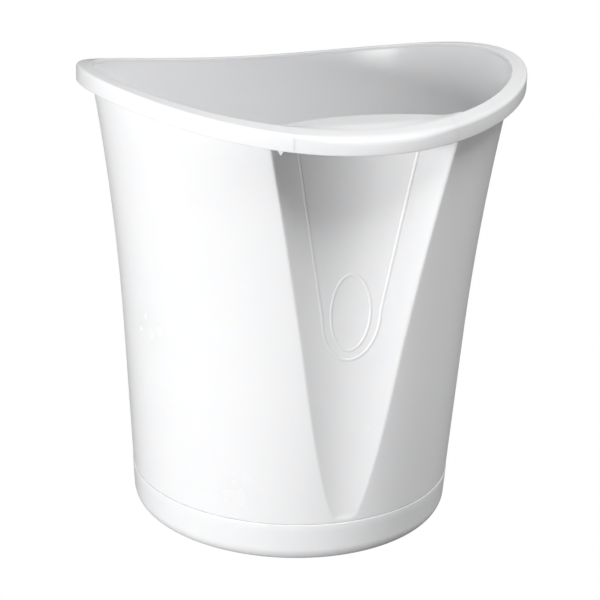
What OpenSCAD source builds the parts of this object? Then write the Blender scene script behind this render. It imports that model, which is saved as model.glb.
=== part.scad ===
// Open waste bin with a wave rim, a tapered finger recess in the front and a proud foot band.
// Millimetres, +Z up. The origin is the middle of the base, on the ground. The recess faces -Y.

/* [Overall] */
// Outside diameter of the rim
rim_d = 320; // [260:1:400]
// Height of the rim's two side peaks
side_height = 342.4; // [270:0.1:420]
// How far the front of the rim lies below the side peaks
front_dip = 15; // [8:0.1:30]
// How far the back of the rim lies below the side peaks
back_dip = 36.4; // [8:0.1:45]

/* [Wall] */
// Outside diameter of the wall, carried down to the ground
base_d = 234.6; // [180:0.1:280]
// Draft of the straight lower wall, in degrees
wall_draft = 3.8; // [2:0.01:7]
// Height at which the wall starts to flare
flare_start = 140; // [80:1:200]
// Thickness of the wall
wall_t = 2.4; // [1.8:0.1:4]
// Thickness of the floor
floor_t = 3; // [2:0.1:5]

/* [Rim] */
// How far the rim reaches past the wall at the side peaks
rim_overhang = 8.1; // [7:0.1:16]
// Height of the rim's outer skirt
skirt_h = 13.4; // [8:0.1:20]
// Thickness of the rim's top plate
rim_plate_t = 2.6; // [2:0.1:4]
// Thickness of the skirt
skirt_t = 2.4; // [1.6:0.1:4]

/* [Finger recess] */
// Depth of the recess below the wall at the rim
recess_depth = 40.3; // [30:0.1:60]
// Depth of the recess below the wall at its foot
recess_foot_depth = 1.7; // [0.8:0.1:3]
// Radius of the recess at the rim
recess_top_r = 122.6; // [90:1:150]
// Radius of the recess at its foot
recess_foot_r = 70; // [45:1:90]
// Height of the plain wall between the foot band and the recess
recess_foot_gap = 2; // [1:0.1:8]

/* [Front grip] */
// Width of the rim section that belongs to the grip
grip_w = 113.6; // [90:0.1:124]
// Distance between the middles of the two tabs that hang under the shelf
tab_span = 120; // [100:1:124]
// Width of each tab
tab_w = 5; // [3:0.1:8]
// Thickness of each tab
tab_t = 2; // [1.2:0.1:3]
// Drop of each tab's point below the rim's skirt
tab_drop = 6.3; // [2:0.1:8]

/* [Beads] */
// Width of the raised beads
bead_w = 1.6; // [1:0.1:3]
// Height of the raised beads
bead_h = 0.5; // [0.3:0.1:1]
// Height of the middle of the oval bead
oval_z = 189.3; // [150:0.5:230]
// Width of the oval bead, between its middle lines
oval_w = 29.1; // [20:0.1:40]
// Height of the oval bead, between its middle lines
oval_h = 55.2; // [40:0.5:70]
// Space between the oval bead and the long bead's round bottom
bead_gap = 7; // [4:0.1:10]
// Distance between the long bead's two lines at their upper ends
long_bead_w = 92; // [60:1:100]

/* [Foot band] */
// Height of the foot band
band_h = 31.5; // [20:0.1:45]
// How far the foot band stands proud of the wall
band_proud = 0.4; // [0.2:0.1:1]
// Thickness of the foot band
band_t = 2.2; // [1.6:0.1:3]
// Radius of the foot band's rounded lower edge
foot_r = 12; // [8:0.5:16]
// Width of the flat flange that the bin stands on
flange_w = 10; // [6:0.5:20]

/* [Fits] */
// Clearance between the wall and the foot ring
fit_gap = 0.2; // [0.1:0.05:0.4]
// Clearance at the two joints between the grip and the rim collar
seam_gap = 0.1; // [0.05:0.05:0.3]

/* [Hidden] */
$fn = 96;

rim_r = rim_d / 2;
base_r = base_d / 2;

// The rim's wave is a level cylinder lying front to back, tipped so that the front is higher.
saddle_mid = side_height - (front_dip + back_dip) / 2;
saddle_rise = side_height - saddle_mid;
saddle_r = (rim_r * rim_r + saddle_rise * saddle_rise) / (2 * saddle_rise);
saddle_tip = atan((back_dip - front_dip) / rim_d);
front_z = side_height - front_dip;
back_z = side_height - back_dip;
function wave_z(r, turn) = saddle_mid + saddle_r - sqrt(pow(saddle_r, 2) - pow(r * sin(turn), 2))
    + tan(saddle_tip) * r * cos(turn);

// The wall is straight at first, then flares on a square law up to the rim.
wall_slope = tan(wall_draft);
flare_span = side_height - flare_start;
flare_out = rim_r - rim_overhang - base_r - wall_slope * side_height;
function wall_r(z) = base_r + wall_slope * z
    + flare_out * pow(max(0, z - flare_start) / flare_span, 2);

// Heights at which the flared wall has its rings.
flare_rings = 7;
top_z = side_height + 4;
function ring_z(i) = flare_start + (top_z - flare_start) * i / flare_rings;

// Foot ring.
band_r = wall_r(band_h) + band_proud;
band_foot_r = band_r - wall_slope * (band_h - foot_r);
body_foot_gap = band_t + fit_gap;
body_foot_r = band_foot_r - body_foot_gap;
round_r = foot_r - body_foot_gap;
round_steps = 6;
floor_z = band_t;
floor_top = floor_z + floor_t;

// Recess: a cone that is tipped so that its deepest line leans inwards as it rises.
recess_foot_z = band_h + recess_foot_gap;
recess_foot_y = -(wall_r(recess_foot_z) - recess_foot_depth) - recess_foot_r;
recess_top_y = -(wall_r(front_z) - recess_depth) - recess_top_r;
recess_rise = front_z - recess_foot_z;
recess_tip = atan((recess_foot_y - recess_top_y) / recess_rise);
recess_len = recess_rise / cos(recess_tip);
recess_grow = (recess_top_r - recess_foot_r) / recess_len;
recess_over = 40;

// Long bead: two straight lines and a half ellipse round the oval bead.
long_foot_rx = oval_w / 2 + bead_gap;
long_foot_rz = oval_h / 2 + bead_gap;
long_foot_z = oval_z;
bead_reach = 60;

function arc(cx, cz, r, a0, a1, n) =
    [for (i = [0 : n]) let (a = a0 + (a1 - a0) * i / n) [cx + r * cos(a), cz + r * sin(a)]];

// Half profile of the wall's outside, moved sideways by inset, from z0 upwards.
function wall_side(inset, z0) = concat(
    [[wall_r(z0) - inset, z0]],
    [for (i = [0 : flare_rings]) [wall_r(ring_z(i)) - inset, ring_z(i)]]);

module revolve_wall(inset, z0) {
    rotate_extrude(convexity = 4)
        polygon(concat([[0, z0]], wall_side(inset, z0), [[0, top_z]]));
}

// Space above the rim's wave, lowered by drop.
module above_wave(drop) {
    translate([0, 0, saddle_mid - drop])
        rotate([-saddle_tip, 0, 0])
            translate([0, 0, saddle_r])
                rotate([90, 0, 0])
                    cylinder(r = saddle_r, h = 3 * rim_d, center = true, $fn = 180);
}

// What lies between two drops below the wave.
module wave_layer(drop_top, drop_bottom) {
    difference() {
        intersection() {
            children();
            above_wave(drop_bottom);
        }
        above_wave(drop_top);
    }
}

// The recess cone, grown outwards by grow.
module recess_cone(grow) {
    low = 60;
    translate([0, recess_foot_y, recess_foot_z])
        rotate([recess_tip, 0, 0])
            translate([0, 0, -low])
                cylinder(
                    r1 = recess_foot_r - recess_grow * low + grow,
                    r2 = recess_top_r + recess_grow * recess_over + grow,
                    h = low + recess_len + recess_over);
}

// The recess cone above a level foot.
module recess(grow) {
    intersection() {
        recess_cone(grow);
        translate([-rim_r, -2 * rim_d, recess_foot_z - grow])
            cube([rim_d, 2 * rim_d, side_height]);
    }
}

// Inside of the bin, above the floor.
module cavity() {
    inner_round = max(1, round_r - wall_t);
    foot_x = body_foot_r - wall_t;
    difference() {
        rotate_extrude(convexity = 4)
            polygon(concat(
                [[0, floor_top]],
                arc(foot_x - inner_round, floor_top + inner_round, inner_round, -90, 0, round_steps),
                wall_side(wall_t, recess_foot_z + wall_t),
                [[0, top_z]]));
        recess(wall_t);
    }
}

// Outline of the oval bead, standing up, seen from the front.
module oval_outline(grow) {
    scale_z = (oval_h / 2 + grow) / (oval_w / 2 + grow);
    polygon([for (i = [0 : 39]) let (a = 9 * i)
        [(oval_w / 2 + grow) * cos(a), (oval_w / 2 + grow) * scale_z * sin(a)]]);
}

// Outline of the long bead: round at the bottom and open towards the rim.
module long_outline(grow) {
    top_h = front_z - long_foot_z;
    polygon(concat(
        [for (i = [0 : 20]) let (a = 180 + 9 * i)
            [(long_foot_rx + grow) * cos(a), (long_foot_rz + grow) * sin(a)]],
        [[long_bead_w / 2 + grow, top_h], [-long_bead_w / 2 - grow, top_h]]));
}

module bead_prism(z) {
    translate([0, 0, z])
        rotate([90, 0, 0])
            translate([0, 0, base_r - bead_reach])
                linear_extrude(height = 2 * bead_reach)
                    children();
}

// Raised beads on the recess, as high as bead_h.
module beads() {
    intersection() {
        difference() {
            recess_cone(0.3);
            recess_cone(-bead_h);
        }
        union() {
            bead_prism(oval_z)
                difference() {
                    oval_outline(bead_w / 2);
                    oval_outline(-bead_w / 2);
                }
            bead_prism(long_foot_z)
                difference() {
                    long_outline(bead_w / 2);
                    long_outline(-bead_w / 2);
                }
        }
    }
}

// Plate and skirt of the rim, as one ring.
module rim_ring() {
    rim_h = side_height - back_z + 3 * skirt_h;
    rim_foot_z = back_z - 2 * skirt_h;
    wave_layer(0, rim_plate_t)
        difference() {
            translate([0, 0, rim_foot_z])
                cylinder(r = rim_r, h = rim_h, $fn = 180);
            revolve_wall(wall_t, flare_start);
        }
    wave_layer(0, skirt_h)
        translate([0, 0, rim_foot_z])
            difference() {
                cylinder(r = rim_r, h = rim_h, $fn = 180);
                cylinder(r = rim_r - skirt_t, h = 3 * side_height, center = true, $fn = 180);
            }
}

// Block that holds the grip's section of the rim.
module grip_block(w) {
    translate([-w / 2, -rim_d, 0])
        cube([w, rim_d - recess_top_r / 2, 2 * side_height]);
}

// Shelf that closes the top of the recess. Its tips lie inside the rim collar.
module grip_shelf() {
    wave_layer(0, rim_plate_t)
        intersection() {
            recess_cone(wall_t);
            union() {
                revolve_wall(wall_t + seam_gap, flare_start);
                intersection() {
                    revolve_wall(wall_t / 2, flare_start);
                    grip_block(grip_w - 2 * seam_gap);
                }
            }
        }
}

// Pointed tab that hangs under one end of the shelf, just inside the wall's line.
module grip_tab(side) {
    tab_r = wall_r(front_z) - wall_t - tab_t / 2;
    turn = asin(side * tab_span / 2 / tab_r);
    tab_top = wave_z(tab_r, turn) - rim_plate_t / 2;
    tab_foot = wave_z(rim_r, turn) - skirt_h - tab_drop;
    rotate([0, 0, turn])
        translate([0, tab_t - tab_r, 0])
            rotate([90, 0, 0])
                linear_extrude(height = tab_t)
                    polygon([
                        [-tab_w / 2, tab_top],
                        [-tab_w / 2, tab_foot + tab_w * 0.7],
                        [-tab_w / 12, tab_foot],
                        [tab_w / 12, tab_foot],
                        [tab_w / 2, tab_foot + tab_w * 0.7],
                        [tab_w / 2, tab_top]]);
}

module bin_body() {
    color("white") difference() {
        union() {
            difference() {
                rotate_extrude(convexity = 4)
                    polygon(concat(
                        [[0, floor_z]],
                        arc(body_foot_r - round_r, floor_z + round_r, round_r, -90, 0, round_steps),
                        [[band_r - body_foot_gap, band_h]],
                        wall_side(0, band_h),
                        [[0, top_z]]));
                recess(0);
            }
            intersection() {
                beads();
                revolve_wall(0, band_h);
            }
        }
        cavity();
        above_wave(rim_plate_t);
    }
}

module rim_collar() {
    color("white") difference() {
        rim_ring();
        grip_block(grip_w);
    }
}

module front_grip() {
    color("white") {
        intersection() {
            rim_ring();
            grip_block(grip_w - 2 * seam_gap);
        }
        grip_shelf();
        grip_tab(-1);
        grip_tab(1);
    }
}

module foot_ring() {
    flange_r = band_foot_r - foot_r;
    color("white") rotate_extrude(convexity = 4)
        polygon(concat(
            [[flange_r - flange_w, 0]],
            arc(flange_r, foot_r, foot_r, -90, 0, round_steps),
            [[band_r, band_h - fit_gap], [band_r - band_t, band_h - fit_gap]],
            arc(flange_r, foot_r, foot_r - band_t, 0, -90, round_steps),
            [[flange_r - flange_w, band_t]]));
}

bin_body();
rim_collar();
front_grip();
foot_ring();
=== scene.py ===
"""Looks of the white waste bin: shell with finger recess, wave rim, grip shelf, foot band and studio."""

import logging
import math
from dataclasses import dataclass, replace
from enum import Enum
from typing import Callable, Iterable

import bpy
import numpy as np
from mathutils import Matrix, Vector

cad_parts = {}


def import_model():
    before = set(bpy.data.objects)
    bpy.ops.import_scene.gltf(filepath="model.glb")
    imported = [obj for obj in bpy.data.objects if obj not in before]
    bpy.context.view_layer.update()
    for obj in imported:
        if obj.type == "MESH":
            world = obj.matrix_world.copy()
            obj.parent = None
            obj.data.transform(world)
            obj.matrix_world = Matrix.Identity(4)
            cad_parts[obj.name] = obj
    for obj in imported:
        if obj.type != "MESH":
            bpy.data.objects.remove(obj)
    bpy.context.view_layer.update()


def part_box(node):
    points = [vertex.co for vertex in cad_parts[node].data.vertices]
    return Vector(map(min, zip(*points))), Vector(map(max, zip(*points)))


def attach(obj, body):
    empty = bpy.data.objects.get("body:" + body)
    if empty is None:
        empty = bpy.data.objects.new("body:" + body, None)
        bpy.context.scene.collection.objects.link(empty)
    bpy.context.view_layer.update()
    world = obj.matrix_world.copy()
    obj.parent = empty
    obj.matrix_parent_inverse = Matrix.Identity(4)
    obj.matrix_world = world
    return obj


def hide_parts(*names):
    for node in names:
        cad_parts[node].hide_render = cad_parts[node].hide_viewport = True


log = logging.getLogger("waste_bin")

ROOT = "root"


class Cap(Enum):
    """How the two ends of a sleeve are finished."""

    OPEN = "open"
    FLAT = "flat"
    POINT = "point"
    JOINED = "joined"


def smooth_step(value: np.ndarray, low: float, high: float) -> np.ndarray:
    """Eases from 0 at low to 1 at high.

    Args:
        value: Where to read the curve.
        low: Start of the rise.
        high: End of the rise.

    Returns:
        The eased share, between 0 and 1.
    """
    share = np.clip((np.asarray(value, float) - low) / (high - low), 0.0, 1.0)
    return share * share * (3.0 - 2.0 * share)


def corner(centre: tuple[float, float], radius: float, start: float, end: float, steps: int) -> list:
    """Points of a rounded corner.

    Args:
        centre: Middle of the arc, as (outwards, up).
        radius: Radius of the arc.
        start: First angle in degrees.
        end: Last angle in degrees.
        steps: Number of pieces that the arc is cut into.

    Returns:
        A list of (outwards, up) points.
    """
    angles = np.radians(np.linspace(start, end, steps + 1))
    return [(centre[0] + radius * math.cos(a), centre[1] + radius * math.sin(a)) for a in angles]


@dataclass(frozen=True)
class BinForm:
    """Driving sizes of the bin, in metres, and the surfaces that follow from them."""

    rim_r: float
    side_z: float
    band_top: float
    band_r: float
    grip_half: float
    front_dip: float = 0.015
    back_dip: float = 0.0364
    wall_slope: float = math.tan(math.radians(3.8))
    base_r: float = 0.1173
    flare_start: float = 0.140
    wall_t: float = 0.0024
    floor_t: float = 0.003
    rim_overhang: float = 0.0081
    rim_plate_t: float = 0.0026
    rim_slope: float = 0.28
    slope_reach: float = 0.012
    edge_drop: float = 0.0015
    shelf_dome: float = 0.0019
    shelf_fall: float = 0.0037
    skirt_h: float = 0.01187
    skirt_t: float = 0.0024
    recess_depth: float = 0.0403
    recess_foot_depth: float = 0.0017
    recess_top_r: float = 0.1226
    recess_foot_r: float = 0.070
    recess_foot_gap: float = 0.002
    band_t: float = 0.0022
    foot_r: float = 0.012
    flange_w: float = 0.010
    fit_gap: float = 0.0002
    seam_gap: float = 0.00002

    @classmethod
    def from_frame(cls) -> "BinForm":
        """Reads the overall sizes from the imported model."""
        rim_low, rim_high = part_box("rim_collar")
        foot_low, foot_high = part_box("foot_ring")
        lean = cls.back_dip - cls.front_dip
        peak = lean**2 / (8 * (cls.back_dip + cls.front_dip))
        return cls(
            rim_r=(rim_high.x - rim_low.x) / 2,
            side_z=rim_high.z - peak,
            band_top=foot_high.z + cls.fit_gap,
            band_r=(foot_high.x - foot_low.x) / 2,
            grip_half=0.0568,
        )

    @property
    def saddle_rise(self) -> float:
        """Rise of the rim from its front-to-back middle line to its sides."""
        return (self.front_dip + self.back_dip) / 2

    @property
    def saddle_r(self) -> float:
        """Radius of the level cylinder that shapes the wave."""
        return (self.rim_r**2 + self.saddle_rise**2) / (2 * self.saddle_rise)

    @property
    def tip(self) -> float:
        """Slope of the wave from back to front."""
        return (self.back_dip - self.front_dip) / (2 * self.rim_r)

    @property
    def front_z(self) -> float:
        """Height of the rim at the front."""
        return self.side_z - self.front_dip

    @property
    def recess_foot_z(self) -> float:
        """Height at which the recess starts."""
        return self.band_top + self.recess_foot_gap

    def wave(self, x: np.ndarray, y: np.ndarray) -> np.ndarray:
        """Height of the rim's top at a place in plan.

        Args:
            x: Sideways place.
            y: Front-to-back place.

        Returns:
            The height of the wave there.
        """
        rise = self.saddle_r - np.sqrt(self.saddle_r**2 - np.square(x))
        return self.side_z - self.saddle_rise + rise - self.tip * np.asarray(y)

    def rim_top(self, x: np.ndarray, y: np.ndarray) -> np.ndarray:
        """Height of the rim's top face, which slopes down outwards and is flush with the shelf inside.

        Args:
            x: Sideways place.
            y: Front-to-back place.

        Returns:
            The height of the top face there.
        """
        inwards = np.clip(self.rim_r - np.hypot(x, y), 0.0, self.slope_reach)
        return self.wave(x, y) - self.edge_drop + self.rim_slope * inwards

    def shelf_top(self, x: np.ndarray, y: np.ndarray) -> np.ndarray:
        """Height of the rim's top face, with the shelf inside it domed.

        Args:
            x: Sideways place.
            y: Front-to-back place.

        Returns:
            The height of the top face there.
        """
        inside = smooth_step(self.rim_r - np.hypot(x, y), self.slope_reach, 2 * self.slope_reach)
        dome = self.shelf_dome - self.shelf_fall * np.square(np.asarray(x) / self.grip_half)
        near_front = np.asarray(y) < -self.rim_r / 2
        lift = inside * np.maximum(dome, -self.shelf_dome)
        return self.rim_top(x, y) + np.where(near_front, lift, 0.0)

    def wall_r(self, z: np.ndarray) -> np.ndarray:
        """Outside radius of the wall.

        Args:
            z: Height above the ground.

        Returns:
            The radius at that height.
        """
        span = self.side_z - self.flare_start
        flare = self.rim_r - self.rim_overhang - self.base_r - self.wall_slope * self.side_z
        share = np.clip((np.asarray(z, float) - self.flare_start) / span, 0.0, None)
        return self.base_r + self.wall_slope * np.asarray(z, float) + flare * share**2

    def recess_axis(self) -> tuple[np.ndarray, np.ndarray, float]:
        """Foot point, direction and growth rate of the recess cone.

        Returns:
            The axis's foot, its unit direction, and the radius gained for each unit of length.
        """
        foot_y = -(self.wall_r(self.recess_foot_z) - self.recess_foot_depth) - self.recess_foot_r
        top_y = -(self.wall_r(self.front_z) - self.recess_depth) - self.recess_top_r
        foot = np.array([0.0, float(foot_y), self.recess_foot_z])
        run = np.array([0.0, float(top_y), self.front_z]) - foot
        length = float(np.linalg.norm(run))
        return foot, run / length, (self.recess_top_r - self.recess_foot_r) / length

    def recess_hit(self, origin: np.ndarray, heading: np.ndarray, grow: float = 0.0) -> np.ndarray:
        """Distance from a point to the recess cone.

        Args:
            origin: Start points, one in each row.
            heading: Unit headings, one in each row.
            grow: How much larger the cone is made.

        Returns:
            The distance to the near side of the cone, or NaN where it is missed.
        """
        foot, axis, rate = self.recess_axis()
        start = origin - foot
        along, turn = heading @ axis, start @ axis
        radius = self.recess_foot_r + grow + rate * turn
        a = 1.0 - along**2 * (1.0 + rate**2)
        b = 2.0 * (np.sum(start * heading, axis=-1) - along * turn - rate * along * radius)
        c = np.sum(start * start, axis=-1) - turn**2 - radius**2
        inside = b * b - 4.0 * a * c
        with np.errstate(invalid="ignore"):
            return (-b - np.sqrt(inside)) / (2.0 * a)

    def recess_r(self, angle: np.ndarray, z: np.ndarray, grow: float = 0.0) -> np.ndarray:
        """Radius of the recess's surface from the bin's axis.

        Args:
            angle: Angle from the front, in radians.
            z: Height above the ground.
            grow: How much larger the cone is made.

        Returns:
            The radius, or NaN where the recess isn't.
        """
        angle, z = np.broadcast_arrays(np.asarray(angle, float), np.asarray(z, float))
        heading = np.stack([np.sin(angle), -np.cos(angle), np.zeros_like(angle)], axis=-1)
        origin = np.stack([np.zeros_like(z), np.zeros_like(z), z], axis=-1)
        return self.recess_hit(origin, heading, grow)

    def crease_angle(self, z: np.ndarray, inset: float = 0.0) -> np.ndarray:
        """Angle from the front at which the recess meets the wall.

        Args:
            z: Height above the ground.
            inset: Depth below the wall's outside, which also grows the recess.

        Returns:
            The angle in radians.
        """
        z = np.maximum(np.asarray(z, float), self.recess_foot_z)
        low, high = np.zeros_like(z), np.full_like(z, math.radians(60))
        for _ in range(40):
            middle = (low + high) / 2
            gap = self.recess_r(middle, z, inset) - (self.wall_r(z) - inset)
            outside = np.isnan(gap) | (gap > 0)
            high = np.where(outside, middle, high)
            low = np.where(outside, low, middle)
        return low


class Sleeve:
    """A tube of point rings, grown from a circle by extruding its edge ring by ring."""

    def __init__(self, name: str, rings: np.ndarray, cap: Cap = Cap.OPEN) -> None:
        """Keeps what the tube needs.

        Args:
            name: Name of the piece.
            rings: Places of the points, as rings by points by three.
            cap: How the ends are finished.
        """
        self.name = name
        self.rings = rings
        self.cap = cap

    def build(self) -> bpy.types.Object:
        """Grows the tube and returns its object."""
        count, around = self.rings.shape[:2]
        bpy.ops.object.select_all(action="DESELECT")
        bpy.ops.mesh.primitive_circle_add(vertices=around, radius=1.0, fill_type="NOTHING")
        piece = bpy.context.object
        piece.name = piece.data.name = self.name
        bpy.ops.object.mode_set(mode="EDIT")
        bpy.ops.mesh.select_all(action="SELECT")
        for _ in range(count - 1):
            bpy.ops.mesh.extrude_region_move(TRANSFORM_OT_translate={"value": (0.0, 0.0, 1.0)})
        bpy.ops.object.mode_set(mode="OBJECT")
        self._place(piece)
        self._finish_ends(piece)
        return piece

    def _place(self, piece: bpy.types.Object) -> None:
        """Moves each point to its place: its height names its ring, and its angle its place there."""
        mesh = piece.data
        count, around = self.rings.shape[:2]
        raw = np.empty(len(mesh.vertices) * 3)
        mesh.vertices.foreach_get("co", raw)
        raw = raw.reshape(-1, 3)
        ring = np.rint(raw[:, 2]).astype(int)
        turn = np.arctan2(raw[:, 0], raw[:, 1]) / (2 * math.pi) * around
        column = np.mod(np.rint(turn).astype(int), around)
        assert len(set(zip(ring, column))) == count * around
        mesh.vertices.foreach_set("co", self.rings[ring, column].ravel())
        mesh.update()

    def _finish_ends(self, piece: bpy.types.Object) -> None:
        """Closes or joins the ends, merges doubles and turns the faces outwards."""
        edit(piece)
        if self.cap is Cap.FLAT:
            bpy.ops.mesh.select_all(action="DESELECT")
            bpy.ops.mesh.select_non_manifold(extend=False)
            bpy.ops.mesh.edge_face_add()
        if self.cap in (Cap.POINT, Cap.JOINED):
            bpy.ops.mesh.select_all(action="SELECT")
            bpy.ops.mesh.remove_doubles(threshold=1e-7)
        bpy.ops.mesh.select_all(action="SELECT")
        bpy.ops.mesh.normals_make_consistent(inside=False)
        bpy.ops.object.mode_set(mode="OBJECT")


def edit(piece: bpy.types.Object) -> None:
    """Makes one piece the only selected one and opens it in edit mode."""
    pick(piece)
    bpy.ops.object.mode_set(mode="EDIT")


def pick(*pieces: bpy.types.Object) -> None:
    """Selects only these pieces, the last of them active."""
    bpy.ops.object.select_all(action="DESELECT")
    for piece in pieces:
        piece.select_set(True)
    bpy.context.view_layer.objects.active = pieces[-1]


def weld_in(piece: bpy.types.Object, other: bpy.types.Object) -> None:
    """Melts another closed piece into this one, and drops it.

    Args:
        piece: The piece that stays.
        other: The piece that is taken in.
    """
    pick(piece)
    weld = piece.modifiers.new("weld", "BOOLEAN")
    weld.operation = "UNION"
    weld.solver = "EXACT"
    weld.object = other
    bpy.ops.object.modifier_apply(modifier=weld.name)
    bpy.data.objects.remove(other)


def shade(piece: bpy.types.Object, angle: float = 30.0) -> None:
    """Smooths a piece's shading, except over edges sharper than an angle in degrees."""
    pick(piece)
    bpy.ops.object.shade_smooth_by_angle(angle=math.radians(angle), keep_sharp_edges=False)


@dataclass(frozen=True)
class Plastic:
    """Finish of one moulding of white polypropylene."""

    tint: tuple[float, float, float] = (0.90, 0.905, 0.915)
    cloud: float = 0.004
    cloud_scale: float = 9.0
    roughness: float = 0.27
    rough_spread: float = 0.02
    grain_scale: float = 900.0
    grain_depth: float = 0.000005
    flow_scale: float = 16.0
    flow_depth: float = 0.000008
    glow: float = 1.0
    glow_reach: float = 0.0018
    coat: float = 0.15

    def make(self, name: str) -> bpy.types.Material:
        """Builds the material.

        Args:
            name: Name of the material.

        Returns:
            The material, with its moulded surface and faint clouds.
        """
        material = bpy.data.materials.new(name)
        material.use_nodes = True
        nodes, links = material.node_tree.nodes, material.node_tree.links
        shader = nodes["Principled BSDF"]
        place = nodes.new("ShaderNodeTexCoord")
        surface = nodes.new("ShaderNodeGroup")
        surface.node_tree = moulded_surface()
        values = {
            "Tint": (*self.tint, 1.0),
            "Cloud": self.cloud,
            "Cloud Scale": self.cloud_scale,
            "Roughness": self.roughness,
            "Roughness Spread": self.rough_spread,
            "Grain Scale": self.grain_scale,
            "Grain Depth": self.grain_depth,
            "Flow Scale": self.flow_scale,
            "Flow Depth": self.flow_depth,
        }
        for socket, value in values.items():
            surface.inputs[socket].default_value = value
        bump = nodes.new("ShaderNodeBump")
        bump.inputs["Strength"].default_value = 1.0
        bump.inputs["Distance"].default_value = 1.0
        links.new(place.outputs["Object"], surface.inputs["Place"])
        links.new(surface.outputs["Colour"], shader.inputs["Base Color"])
        links.new(surface.outputs["Roughness"], shader.inputs["Roughness"])
        links.new(surface.outputs["Height"], bump.inputs["Height"])
        links.new(bump.outputs["Normal"], shader.inputs["Normal"])
        shader.inputs["IOR"].default_value = 1.49
        shader.inputs["Subsurface Weight"].default_value = self.glow
        shader.inputs["Subsurface Radius"].default_value = (1.0, 0.95, 0.9)
        shader.inputs["Subsurface Scale"].default_value = self.glow_reach
        shader.inputs["Coat Weight"].default_value = self.coat
        shader.inputs["Coat Roughness"].default_value = 0.12
        return material


def moulded_surface() -> bpy.types.NodeTree:
    """Shared effect of a glossy moulding: faint clouds in the colour, fine grain and flow waves.

    Returns:
        The node group, made once.
    """
    name = "moulded surface"
    if name in bpy.data.node_groups:
        return bpy.data.node_groups[name]
    group = bpy.data.node_groups.new(name, "ShaderNodeTree")
    sockets = {
        "Place": "NodeSocketVector",
        "Tint": "NodeSocketColor",
        "Cloud": "NodeSocketFloat",
        "Cloud Scale": "NodeSocketFloat",
        "Roughness": "NodeSocketFloat",
        "Roughness Spread": "NodeSocketFloat",
        "Grain Scale": "NodeSocketFloat",
        "Grain Depth": "NodeSocketFloat",
        "Flow Scale": "NodeSocketFloat",
        "Flow Depth": "NodeSocketFloat",
    }
    for label, kind in sockets.items():
        group.interface.new_socket(label, in_out="INPUT", socket_type=kind)
    for label, kind in {
        "Colour": "NodeSocketColor",
        "Roughness": "NodeSocketFloat",
        "Height": "NodeSocketFloat",
    }.items():
        group.interface.new_socket(label, in_out="OUTPUT", socket_type=kind)
    ports = group.nodes.new("NodeGroupInput").outputs
    result = group.nodes.new("NodeGroupOutput").inputs

    def noise(scale: object, detail: float) -> bpy.types.NodeSocket:
        """Noise round zero, at the scale that a socket gives."""
        node = group.nodes.new("ShaderNodeTexNoise")
        node.inputs["Detail"].default_value = detail
        group.links.new(ports["Place"], node.inputs["Vector"])
        group.links.new(scale, node.inputs["Scale"])
        return maths("SUBTRACT", node.outputs["Fac"], 0.5)

    def maths(operation: str, first: object, second: object) -> bpy.types.NodeSocket:
        """One sum, of sockets or numbers."""
        node = group.nodes.new("ShaderNodeMath")
        node.operation = operation
        for socket, value in zip(node.inputs, (first, second)):
            if isinstance(value, (int, float)):
                socket.default_value = value
            else:
                group.links.new(value, socket)
        return node.outputs[0]

    cloud = noise(ports["Cloud Scale"], 3.0)
    shift = maths("ADD", maths("MULTIPLY", cloud, ports["Cloud"]), 1.0)
    tinted = group.nodes.new("ShaderNodeVectorMath")
    tinted.operation = "SCALE"
    group.links.new(ports["Tint"], tinted.inputs[0])
    group.links.new(shift, tinted.inputs["Scale"])
    group.links.new(tinted.outputs[0], result["Colour"])

    spread = maths("MULTIPLY", noise(ports["Flow Scale"], 4.0), ports["Roughness Spread"])
    group.links.new(maths("ADD", ports["Roughness"], spread), result["Roughness"])

    grain = maths("MULTIPLY", noise(ports["Grain Scale"], 2.0), ports["Grain Depth"])
    flow = maths("MULTIPLY", noise(ports["Flow Scale"], 1.0), ports["Flow Depth"])
    group.links.new(maths("ADD", grain, flow), result["Height"])
    return group


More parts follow.
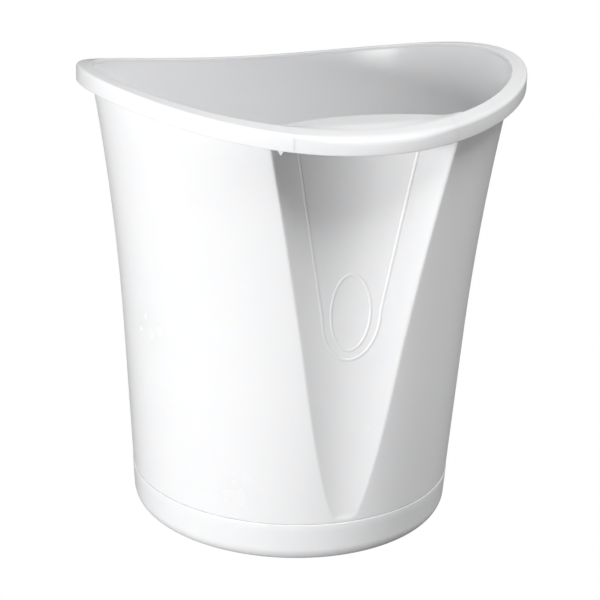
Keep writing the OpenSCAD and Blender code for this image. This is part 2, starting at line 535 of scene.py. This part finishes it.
@dataclass
class Shell:
    """Body of the bin: tapered wall, floor, finger recess and raised beads."""

    form: BinForm
    finish: Plastic
    columns: int = 384
    recess_columns: float = 0.30
    crease_r: float = 0.0011
    crease_steps: int = 5
    foot_ease: float = 0.0035
    wall_rows: int = 46
    wave_start: float = 0.085
    bead_w: float = 0.0022
    bead_h: float = 0.00028
    oval_z: float = 0.1893
    oval_w: float = 0.0291
    oval_h: float = 0.0552
    bead_gap: float = 0.007
    long_bead_w: float = 0.092

    def build(self) -> bpy.types.Object:
        """Builds the whole body, beads included."""
        body = Sleeve("bin_shell", self._rings(), Cap.POINT).build()
        for bead in (self._oval_bead(), self._long_bead()):
            weld_in(body, bead)
        shade(body, 40.0)
        body.data.materials.clear()
        body.data.materials.append(self.finish.make("body plastic"))
        return body

    def _columns(self) -> np.ndarray:
        """Shares of the way round: under 1 in the recess, 1 at its crease, over 1 on the wall."""
        half = self.columns // 2
        in_recess = int(half * self.recess_columns)
        fillet = self.crease_steps
        recess = np.linspace(0.0, 1.0, in_recess, endpoint=False)
        bend = 1.0 + np.arange(fillet) / fillet
        wall = 2.0 + np.linspace(0.0, 1.0, half - in_recess - fillet + 1)
        side = np.concatenate([recess, bend, wall])
        return np.concatenate([side, -side[1:-1][::-1]])

    def _outline(self, z: np.ndarray, inset: float) -> np.ndarray:
        """Plan of the wall, one point for each column.

        Args:
            z: Height of each column's point.
            inset: Depth below the wall's outside.

        Returns:
            An array of x and y for each column.
        """
        form = self.form
        share = self._columns()
        side, share = np.sign(share), np.abs(share)
        crease = form.crease_angle(z, inset)
        wall_r = form.wall_r(z) - inset

        def at_recess(angle: np.ndarray) -> np.ndarray:
            depth = wall_r - np.nan_to_num(form.recess_r(angle, z, inset), nan=1.0)
            foot = form.recess_foot_z - inset
            ease = smooth_step(z, foot, foot + self.foot_ease)
            radius = wall_r - np.maximum(depth, 0.0) * ease
            return np.stack([radius * np.sin(angle), radius * np.cos(angle)], axis=-1)

        def at_wall(angle: np.ndarray) -> np.ndarray:
            return np.stack([wall_r * np.sin(angle), wall_r * np.cos(angle)], axis=-1)

        reach = self.crease_r / wall_r
        start, tip, end = at_recess(crease - reach), at_wall(crease), at_wall(crease + reach)
        bend = np.clip(share - 1.0, 0.0, 1.0)[:, None]
        fillet = (1 - bend) ** 2 * start + 2 * bend * (1 - bend) * tip + bend**2 * end
        recess = at_recess(np.minimum(share, 1.0) * (crease - reach))
        on_wall = crease + reach + np.clip(share - 2.0, 0.0, 1.0) * (math.pi - crease - reach)
        beyond = np.where((share > 2.0)[:, None], at_wall(on_wall), fillet)
        points = np.where((share < 1.0)[:, None], recess, beyond)
        sign = np.where(side == 0, 1.0, side)
        return np.stack([points[:, 0] * sign, -points[:, 1]], axis=-1)

    def _wall_ring(self, level: float, inset: float, drop: float) -> np.ndarray:
        """Ring of the wall that is level low down and follows the wave at the top.

        Args:
            level: Height of the ring at the front's middle.
            inset: Depth below the wall's outside.
            drop: How far the wall's top lies below the wave.

        Returns:
            The ring's points.
        """
        form = self.form
        front_top = form.front_z - drop
        z = np.full(self.columns, level)
        lift = float(smooth_step(level, self.wave_start, front_top))
        for _ in range(4):
            plan = self._outline(z, inset)
            z = level + lift * (form.shelf_top(plan[:, 0], plan[:, 1]) - form.front_z)
        return np.column_stack([plan, z])

    def _flat_ring(self, radius: float, z: float) -> np.ndarray:
        """Round ring whose columns turn with the wall's.

        Args:
            radius: Radius of the ring.
            z: Height of the ring.

        Returns:
            The ring's points.
        """
        heights = np.full(self.columns, self.form.band_top)
        plan = self._outline(heights, 0.0)
        angle = np.arctan2(plan[:, 0], -plan[:, 1])
        return np.column_stack([radius * np.sin(angle), -radius * np.cos(angle), heights * 0 + z])

    def _levels(self, low: float, high: float, foot: float) -> np.ndarray:
        """Heights of the wall's rings, close together at the foot of the recess.

        Args:
            low: First height.
            high: Last height.
            foot: Height at which the recess starts.

        Returns:
            The heights, from low to high.
        """
        close = foot + self.foot_ease * np.linspace(0.0, 1.0, 6)
        rest = np.linspace(close[-1] + 0.001, high, self.wall_rows)
        return np.concatenate([[low], close[close > low + 1e-4], rest])

    def _rings(self) -> np.ndarray:
        """Rings from the middle of the underside, up the outside, over the top and down to the floor."""
        form = self.form
        foot_slope_r = form.band_r - form.wall_slope * (form.band_top - form.foot_r)
        outer_r = foot_slope_r - form.band_t - form.fit_gap
        round_r = form.foot_r - form.band_t - form.fit_gap
        under = corner((outer_r - round_r, form.band_t + round_r), round_r, -90, 0, 6)
        rings = [self._flat_ring(r, z) for r, z in [(0.0, form.band_t), (0.05, form.band_t), *under]]
        rings.append(self._flat_ring(form.band_r - form.band_t - form.fit_gap, form.band_top))
        edge_r = float(form.wall_r(form.band_top))
        rings.append(self._flat_ring(edge_r - 0.0003, form.band_top))
        top = form.front_z - form.rim_plate_t
        for level in self._levels(form.band_top + 0.0003, top, form.recess_foot_z):
            rings.append(self._wall_ring(float(level), 0.0, form.rim_plate_t))
        floor_z = form.band_t + form.floor_t
        inner_r, inner_round = outer_r - form.wall_t, round_r - form.wall_t
        low_z = floor_z + inner_round
        inside = self._levels(low_z + 0.004, top, form.recess_foot_z - form.wall_t)
        for level in inside[::-1]:
            rings.append(self._wall_ring(float(level), form.wall_t, form.rim_plate_t))
        upper = corner((inner_r - inner_round, low_z), inner_round, 0, -90, 7)
        rings.extend(self._flat_ring(r, z) for r, z in upper)
        rings.extend(self._flat_ring(r, floor_z) for r in (inner_r * 0.6, 0.05, 0.0))
        return np.array(rings)

    def _bead(self, name: str, line: np.ndarray, closed: bool) -> bpy.types.Object:
        """Low round bead along a line on the recess.

        Args:
            name: Name of the piece.
            line: Sideways and upward places of the bead's middle.
            closed: Whether the bead is a loop.

        Returns:
            The bead's object.
        """
        form = self.form
        x, z = line[:, 0], line[:, 1]

        def on_recess(px: np.ndarray, pz: np.ndarray) -> np.ndarray:
            origin = np.stack([px, np.zeros_like(px), pz], axis=-1)
            heading = np.tile([0.0, -1.0, 0.0], (len(px), 1))
            return np.stack([px, -form.recess_hit(origin, heading), pz], axis=-1)

        step = 0.0005
        middle = on_recess(x, z)
        across = on_recess(x + step, z) - on_recess(x - step, z)
        upward = on_recess(x, z + step) - on_recess(x, z - step)
        normal = np.cross(across, upward)
        normal /= np.linalg.norm(normal, axis=1)[:, None]
        if closed:
            run = np.roll(middle, -1, axis=0) - np.roll(middle, 1, axis=0)
        else:
            run = np.gradient(middle, axis=0)
        run /= np.linalg.norm(run, axis=1)[:, None]
        beside = np.cross(run, normal)
        angles = np.radians(np.linspace(0, 360, 14, endpoint=False))
        out = np.where(np.sin(angles) > 0, self.bead_h * np.sin(angles), 0.0004 * np.sin(angles))
        wide = self.bead_w / 2 * np.cos(angles)
        rings = middle[:, None] + beside[:, None] * wide[None, :, None]
        rings = rings + normal[:, None] * out[None, :, None]
        if closed:
            rings = np.concatenate([rings, rings[:1]])
        return Sleeve(name, rings, Cap.JOINED if closed else Cap.FLAT).build()

    def _oval_bead(self) -> bpy.types.Object:
        """Empty upright oval."""
        turn = np.linspace(0, 2 * math.pi, 96, endpoint=False)
        x = self.oval_w / 2 * np.sin(turn)
        z = self.oval_z + self.oval_h / 2 * np.cos(turn)
        return self._bead("oval_bead", np.column_stack([x, z]), True)

    def _long_bead(self) -> bpy.types.Object:
        """Two lines that run down from the rim and meet in a round bottom."""
        wide, tall = self.oval_w / 2 + self.bead_gap, self.oval_h / 2 + self.bead_gap
        turn = np.radians(np.linspace(0, -180, 61))
        bottom = np.column_stack([wide * np.cos(turn), self.oval_z + tall * np.sin(turn)])
        top = self.form.front_z - self.form.rim_plate_t - 0.002
        rise = np.linspace(0.0, 1.0, 60)[1:]
        side = np.column_stack([
            wide + (self.long_bead_w / 2 - wide) * rise,
            self.oval_z + (top - self.oval_z) * rise,
        ])
        right, left = side[::-1], side * (-1, 1)
        return self._bead("long_bead", np.concatenate([right, bottom, left]), False)


@dataclass
class RimSection:
    """Section of the rim: flat top plate and turned-down skirt with rounded edges."""

    form: BinForm
    outer_round: float = 0.0024
    inner_round: float = 0.0007
    lip_round: float = 0.0009
    pocket_round: float = 0.0016
    plate_steps: int = 8

    def loop(self, inner_r: float, outer_round: float) -> np.ndarray:
        """Closed loop of (radius, height from the wave), round the section once.

        Args:
            inner_r: Radius at which the plate starts.
            outer_round: Radius of the rounded outer top edge.

        Returns:
            The loop's points.
        """
        form = self.form
        rim, low = form.rim_r, -form.skirt_h
        plate = -form.rim_plate_t
        skirt = rim - form.skirt_t
        steps = self.plate_steps + 1
        top = np.linspace(inner_r + self.inner_round, rim - outer_round, steps)[1:-1]
        under = np.linspace(skirt - self.pocket_round, inner_r, steps)[1:-1]
        points = [(inner_r, plate)]
        points += corner((inner_r + self.inner_round, -self.inner_round), self.inner_round, 180, 90, 3)
        points += [(r, 0.0) for r in top]
        points += corner((rim - outer_round, -outer_round), outer_round, 90, 0, 9)
        points += corner((rim - self.lip_round, low + self.lip_round), self.lip_round, 0, -90, 4)
        points += corner((skirt + self.lip_round, low + self.lip_round), self.lip_round, -90, -180, 4)
        pocket = (skirt - self.pocket_round, plate - self.pocket_round)
        points += corner(pocket, self.pocket_round, 0, 90, 4)
        points += [(r, plate) for r in under]
        return np.array(points)


@dataclass
class RimCollar:
    """C-shaped collar: the wave rim, apart from the stretch that belongs to the grip."""

    form: BinForm
    finish: Plastic
    stations: int = 300

    def build(self) -> bpy.types.Object:
        """Sweeps the section from one side of the grip round the back to the other."""
        rings = np.array([self._station(s) for s in np.linspace(0.0, 1.0, self.stations)])
        collar = Sleeve("rim_collar_skin", rings, Cap.FLAT).build()
        shade(collar, 35.0)
        collar.data.materials.clear()
        collar.data.materials.append(self.finish.make("rim plastic"))
        return collar

    def _station(self, share: float) -> np.ndarray:
        """Section at a share of the way round.

        Args:
            share: From 0 at the grip's right end to 1 at its left end.

        Returns:
            The section's points in place.
        """
        form, section = self.form, RimSection(self.form)
        inner_r = form.rim_r - 0.012
        for _ in range(4):
            first = math.asin(form.grip_half / inner_r)
            angle = first + share * (2 * math.pi - 2 * first)
            top = form.rim_top(inner_r * math.sin(angle), -inner_r * math.cos(angle))
            inner_r = float(form.wall_r(top)) - form.wall_t
        loop = section.loop(inner_r, section.outer_round)
        first = np.arcsin(form.grip_half / loop[:, 0])
        angle = first + share * (2 * math.pi - 2 * first)
        x, y = loop[:, 0] * np.sin(angle), -loop[:, 0] * np.cos(angle)
        return np.column_stack([x, y, form.rim_top(x, y) + loop[:, 1]])


@dataclass
class FrontGrip:
    """Grip: lens-shaped shelf over the recess, its stretch of the rim and two tabs."""

    form: BinForm
    finish: Plastic
    stations: int = 90
    soft_round: float = 0.0052
    tab_x: float = 0.060
    tab_w: float = 0.005
    tab_t: float = 0.002
    tab_tip_z: float = 0.311

    def build(self) -> bpy.types.Object:
        """Builds the grip with its tips and tabs melted in."""
        half = self.form.grip_half - self.form.seam_gap
        rings = np.array([self._station(s, half) for s in np.linspace(-1.0, 1.0, self.stations)])
        grip = Sleeve("front_grip_skin", rings, Cap.FLAT).build()
        for side in (-1, 1):
            weld_in(grip, self._tip(side, half))
            weld_in(grip, self._tab(side))
        shade(grip, 35.0)
        grip.data.materials.clear()
        grip.data.materials.append(self.finish.make("grip plastic"))
        return grip

    def _shelf_r(self, share: float, half: float) -> float:
        """Radius of the shelf's back edge.

        Args:
            share: From -1 at the left end to 1 at the right end.
            half: Half the grip's width at its ends.

        Returns:
            The radius at which that station's section starts.
        """
        form = self.form
        radius, z = 0.12, form.front_z
        for _ in range(30):
            turn = share * math.asin(half / radius)
            hit = float(form.recess_r(np.array(turn), np.array(z), form.wall_t))
            radius = (radius + hit) / 2
            z = float(form.shelf_top(radius * math.sin(turn), -radius * math.cos(turn)))
        return radius

    def _station(self, share: float, half: float) -> np.ndarray:
        """Section of the grip, from the shelf's back edge to the skirt.

        Args:
            share: From -1 at the left end to 1 at the right end.
            half: Half the grip's width at its ends.

        Returns:
            The section's points in place.
        """
        form, section = self.form, RimSection(self.form, plate_steps=16)
        ease = float(smooth_step(1.0 - abs(share), 0.0, 0.7))
        outer_round = section.outer_round + (self.soft_round - section.outer_round) * ease
        loop = section.loop(self._shelf_r(share, half), outer_round)
        turn = share * np.arcsin(np.minimum(half / loop[:, 0], 1.0))
        x, y = loop[:, 0] * np.sin(turn), -loop[:, 0] * np.cos(turn)
        return np.column_stack([x, y, form.shelf_top(x, y) + loop[:, 1]])

    def _tip(self, side: int, half: float) -> bpy.types.Object:
        """Pointed end of the shelf, inside the rim collar."""
        form = self.form
        rings = []
        gap = form.seam_gap
        for x in np.linspace(half - 0.0012, half + 0.0105, 14):
            back = self._back_edge(float(x))
            front = self._front_edge(float(x), gap)
            front = min(front, back - 0.0004)
            ys = np.concatenate([np.linspace(back, front, 8), np.linspace(front, back, 8)])
            drop = np.concatenate([np.zeros(8), np.full(8, -form.rim_plate_t)])
            xs = np.full(16, side * x)
            rings.append(np.column_stack([xs, ys, form.shelf_top(xs, ys) + drop]))
        return Sleeve("grip_tip", np.array(rings), Cap.FLAT).build()

    def _back_edge(self, x: float) -> float:
        """Front-to-back place of the shelf's back edge at a sideways place."""
        form = self.form
        y = -0.115
        for _ in range(6):
            origin = np.array([[x, 0.0, float(form.shelf_top(x, y))]])
            y = -float(form.recess_hit(origin, np.array([[0.0, -1.0, 0.0]]), form.wall_t)[0])
        return y

    def _front_edge(self, x: float, gap: float) -> float:
        """Front-to-back place of the collar's inner edge, less a gap."""
        form = self.form
        y = -0.13
        for _ in range(6):
            radius = float(form.wall_r(form.rim_top(x, y))) - form.wall_t - gap
            y = -math.sqrt(max(radius**2 - x**2, 1e-8))
        return y

    def _tab(self, side: int) -> bpy.types.Object:
        """Thin pointed plate that hangs under one end of the shelf."""
        form = self.form
        radius = float(form.wall_r(form.front_z)) - form.wall_t - self.tab_t / 2
        turn = side * math.asin(self.tab_x / radius)
        x, y = radius * math.sin(turn), -radius * math.cos(turn)
        top = float(form.rim_top(x, y)) - form.rim_plate_t / 2
        rings = []
        for half, z in ((0.5, top), (0.5, self.tab_tip_z + 0.7 * self.tab_w), (0.08, self.tab_tip_z)):
            wide = half * self.tab_w
            plan = np.array([(wide, 0.5), (wide, -0.5), (-wide, -0.5), (-wide, 0.5)]) * (1, self.tab_t)
            along, out = plan[:, 0], plan[:, 1]
            rings.append(np.column_stack([
                x + along * math.cos(turn) + out * math.sin(turn),
                y + along * math.sin(turn) - out * math.cos(turn),
                np.full(4, z),
            ]))
        tab = Sleeve("grip_tab", np.array(rings), Cap.FLAT).build()
        soften = tab.modifiers.new("soften", "BEVEL")
        soften.width = 0.0003
        soften.segments = 2
        bpy.ops.object.modifier_apply(modifier=soften.name)
        return tab


@dataclass
class FootRing:
    """Foot band: proud band, rounded lower edge and the flange that the bin stands on."""

    form: BinForm
    finish: Plastic
    columns: int = 288
    edge_round: float = 0.0006

    def build(self) -> bpy.types.Object:
        """Sweeps the band's section once round."""
        form = self.form
        foot_r = form.band_r - form.wall_slope * (form.band_top - form.foot_r)
        flange_r = foot_r - form.foot_r
        top = form.band_top - form.fit_gap
        inner = form.band_r - form.band_t
        edge = self.edge_round
        loop = [(flange_r - form.flange_w, 0.0004), (flange_r - form.flange_w + 0.0004, 0.0)]
        loop += corner((flange_r, form.foot_r), form.foot_r, -90, 0, 14)
        for s in (0.35, 0.7):
            loop += [(
                foot_r + (form.band_r - foot_r) * s,
                form.foot_r + (top - edge - form.foot_r) * s,
            )]
        loop += corner((form.band_r - edge, top - edge), edge, 0, 90, 4)
        loop += [(inner, top)]
        loop += corner((flange_r, form.foot_r), form.foot_r - form.band_t, 0, -90, 8)
        loop += [(flange_r - form.flange_w, form.band_t)]
        loop = np.array(loop)
        turns = np.linspace(0, 2 * math.pi, self.columns + 1)
        rings = np.array([
            np.column_stack([loop[:, 0] * math.sin(t), -loop[:, 0] * math.cos(t), loop[:, 1]])
            for t in turns
        ])
        rings[-1] = rings[0]
        ring = Sleeve("foot_ring_skin", rings, Cap.JOINED).build()
        shade(ring, 35.0)
        ring.data.materials.clear()
        ring.data.materials.append(self.finish.make("foot plastic"))
        return ring


@dataclass(frozen=True)
class Lamp:
    """One soft studio light, aimed at the bin's middle."""

    name: str
    place: tuple[float, float, float]
    size: tuple[float, float]
    power: float
    colour: tuple[float, float, float] = (1.0, 1.0, 1.0)

    def switch_on(self, target: Vector) -> None:
        """Adds the light.

        Args:
            target: What the light is aimed at.
        """
        data = bpy.data.lights.new(self.name, "AREA")
        data.shape = "RECTANGLE"
        data.size, data.size_y = self.size
        data.energy = self.power
        data.color = self.colour
        lamp = bpy.data.objects.new(self.name, data)
        lamp.location = self.place
        lamp.rotation_euler = (target - Vector(self.place)).to_track_quat("-Z", "Y").to_euler()
        bpy.context.scene.collection.objects.link(lamp)


@dataclass
class Studio:
    """Camera, pale floor, white surround and soft lights."""

    form: BinForm
    view_turn: float = math.radians(19.7)
    distance: float = 1.3569
    eye_height: float = 0.6593
    look_down: float = math.radians(20.287)
    swing: float = math.radians(0.1725)
    roll: float = math.radians(1.8335)
    focal: float = 116.52
    ambient: float = 0.295
    ambient_lean: float = 0.85
    bright_side: tuple[float, float, float] = (0.85, 0.40, 0.35)
    floor_tone: float = 0.27
    floor_size: float = 12.0

    def set_camera(self) -> None:
        """Places the camera to the left of the recess, looking down a little."""
        turn = Matrix.Rotation(-self.view_turn, 3, "Z")
        eye = turn @ Vector((0.0, -self.distance, self.eye_height))
        ahead = Vector((
            math.sin(self.swing) * math.cos(self.look_down),
            math.cos(self.swing) * math.cos(self.look_down),
            -math.sin(self.look_down),
        ))
        right = ahead.cross(Vector((0, 0, 1))).normalized()
        up = right.cross(ahead)
        right_rolled = math.cos(self.roll) * right + math.sin(self.roll) * up
        up_rolled = -math.sin(self.roll) * right + math.cos(self.roll) * up
        axes = turn @ Matrix((right_rolled, up_rolled, -ahead)).transposed()
        data = bpy.data.cameras.new("camera")
        data.sensor_width = 36.0
        data.lens = self.focal
        camera = bpy.data.objects.new("camera", data)
        camera.matrix_world = Matrix.Translation(eye) @ axes.to_4x4()
        bpy.context.scene.collection.objects.link(camera)
        bpy.context.scene.camera = camera

    def set_surround(self) -> None:
        """White surround that shows at full white and lights the bin more softly."""
        world = bpy.data.worlds.new("surround")
        bpy.context.scene.world = world
        world.use_nodes = True
        nodes, links = world.node_tree.nodes, world.node_tree.links
        heading = nodes.new("ShaderNodeTexCoord")
        towards = nodes.new("ShaderNodeVectorMath")
        towards.operation = "DOT_PRODUCT"
        towards.inputs[1].default_value = self.bright_side
        links.new(heading.outputs["Generated"], towards.inputs[0])
        lean = nodes.new("ShaderNodeMapRange")
        lean.inputs["From Min"].default_value = -1.0
        lean.inputs["To Min"].default_value = self.ambient * (1 - self.ambient_lean)
        lean.inputs["To Max"].default_value = self.ambient * (1 + self.ambient_lean)
        links.new(towards.outputs["Value"], lean.inputs["Value"])
        seen = nodes.new("ShaderNodeLightPath")
        level = nodes.new("ShaderNodeMapRange")
        links.new(lean.outputs["Result"], level.inputs["To Min"])
        level.inputs["To Max"].default_value = 1.0
        links.new(seen.outputs["Is Camera Ray"], level.inputs["Value"])
        links.new(level.outputs["Result"], nodes["Background"].inputs["Strength"])
        nodes["Background"].inputs["Color"].default_value = (1.0, 1.0, 1.0, 1.0)
        bpy.context.scene.view_settings.view_transform = "Standard"

    def lay_floor(self) -> None:
        """Pale floor."""
        bpy.ops.object.select_all(action="DESELECT")
        bpy.ops.mesh.primitive_plane_add(size=self.floor_size, location=(0.0, 0.0, 0.0))
        floor = bpy.context.object
        floor.name = "floor"
        material = bpy.data.materials.new("floor")
        material.use_nodes = True
        nodes, links = material.node_tree.nodes, material.node_tree.links
        shader = nodes["Principled BSDF"]
        shader.inputs["Base Color"].default_value = (*[self.floor_tone] * 3, 1.0)
        shader.inputs["Roughness"].default_value = 0.9
        glow = nodes.new("ShaderNodeEmission")
        glow.inputs["Color"].default_value = (1.0, 1.0, 1.0, 1.0)
        seen = nodes.new("ShaderNodeLightPath")
        blend = nodes.new("ShaderNodeMixShader")
        links.new(seen.outputs["Is Camera Ray"], blend.inputs["Fac"])
        links.new(shader.outputs[0], blend.inputs[1])
        links.new(glow.outputs[0], blend.inputs[2])
        links.new(blend.outputs[0], nodes["Material Output"].inputs["Surface"])
        floor.data.materials.append(material)

    def light(self, lamps: Iterable[Lamp]) -> None:
        """Switches the lamps on."""
        target = Vector((0.0, 0.0, self.form.side_z / 2))
        for lamp in lamps:
            lamp.switch_on(target)


def dress(name: str, build: Callable[[], bpy.types.Object], node: str) -> bpy.types.Object:
    """Builds one piece, lets it stand for its CAD node and reports it.

    Args:
        name: Plain name of the piece, for the report.
        build: What makes the piece.
        node: The CAD node that it stands for.

    Returns:
        The piece.
    """
    piece = build()
    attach(piece, ROOT)
    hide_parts(node)
    log.info("%s: %d faces", name, len(piece.data.polygons))
    return piece


def main() -> None:
    """Builds the scene in order."""
    logging.basicConfig(level=logging.INFO, format="%(name)s: %(message)s")
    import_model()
    form = BinForm.from_frame()
    studio = Studio(form)
    studio.set_camera()
    studio.set_surround()
    studio.lay_floor()
    studio.light([
        Lamp("key", (-2.28, -1.05, 0.38), (1.0, 0.6), 53.0),
        Lamp("top", (0.5, -1.1, 2.1), (0.9, 0.9), 28.0),
    ])
    plastic = Plastic()
    dress("body", Shell(form, plastic).build, "bin_body")
    dress("rim collar", RimCollar(form, replace(plastic, glow=0.4)).build, "rim_collar")
    dress("front grip", FrontGrip(form, replace(plastic, glow=0.4)).build, "front_grip")
    dress("foot ring", FootRing(form, replace(plastic, glow=0.6)).build, "foot_ring")


if __name__ == "__main__":
    main()
